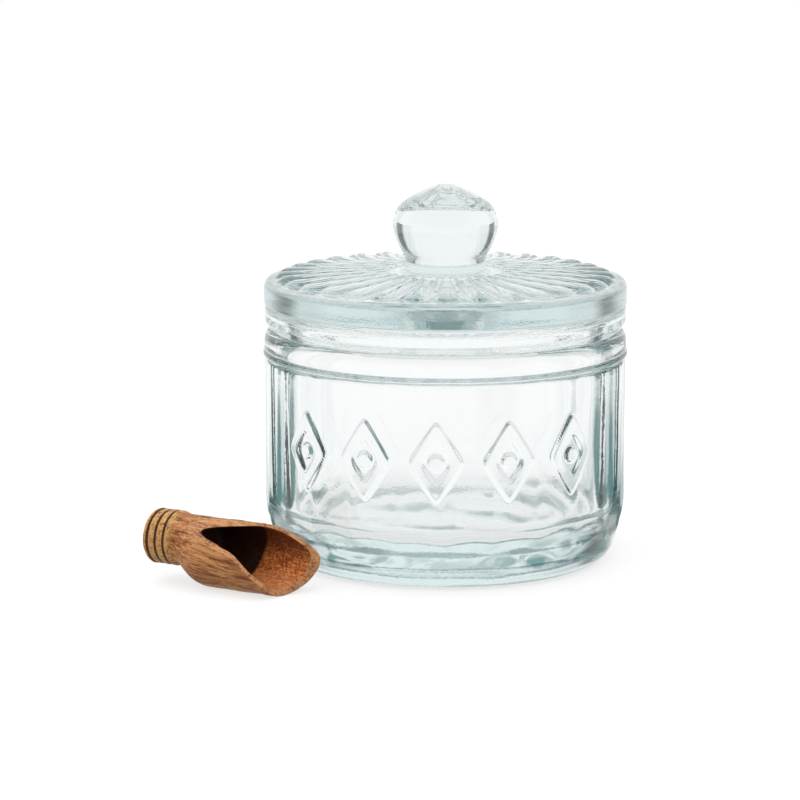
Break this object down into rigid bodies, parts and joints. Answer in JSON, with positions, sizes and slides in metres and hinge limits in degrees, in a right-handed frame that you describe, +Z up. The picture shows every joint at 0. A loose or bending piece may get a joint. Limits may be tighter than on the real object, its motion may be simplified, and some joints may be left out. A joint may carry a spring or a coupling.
{
  "type": "sugar canister",
  "caption": "Low round pressed-glass sugar canister with faceted sides, a ribbed lift-off lid with a solid knob, and a small wooden scoop beside it.",
  "frame": {"origin": "on the jar's axis, in the plane that its foot stands on", "axes": "+Z up along the jar's axis, -Y towards the front with the raised ornament, +X to the right"},
  "size_m": [0.1582, 0.128, 0.1241],
  "materials": {
    "jar_glass": "clear pressed glass with a faint aqua tint",
    "lid_glass": "clear pressed glass with a faint aqua tint",
    "scoop_wood": "oiled mid-brown hardwood with fine dark grain"
  },
  "bodies": {
    "jar": {"jar": "jar_glass"},
    "lid": {"lid": "lid_glass"},
    "scoop": {"scoop": "scoop_wood"}
  },
  "joints": [
    {"name": "lid_lift", "type": "slide", "parent": "jar", "child": "lid", "axis": [0, 0, 1], "range_m": [0, 0.1]},
    {"name": "scoop_lift", "type": "slide", "parent": "jar", "child": "scoop", "axis": [0, 0, 1], "range_m": [0, 0.15]}
  ]
}
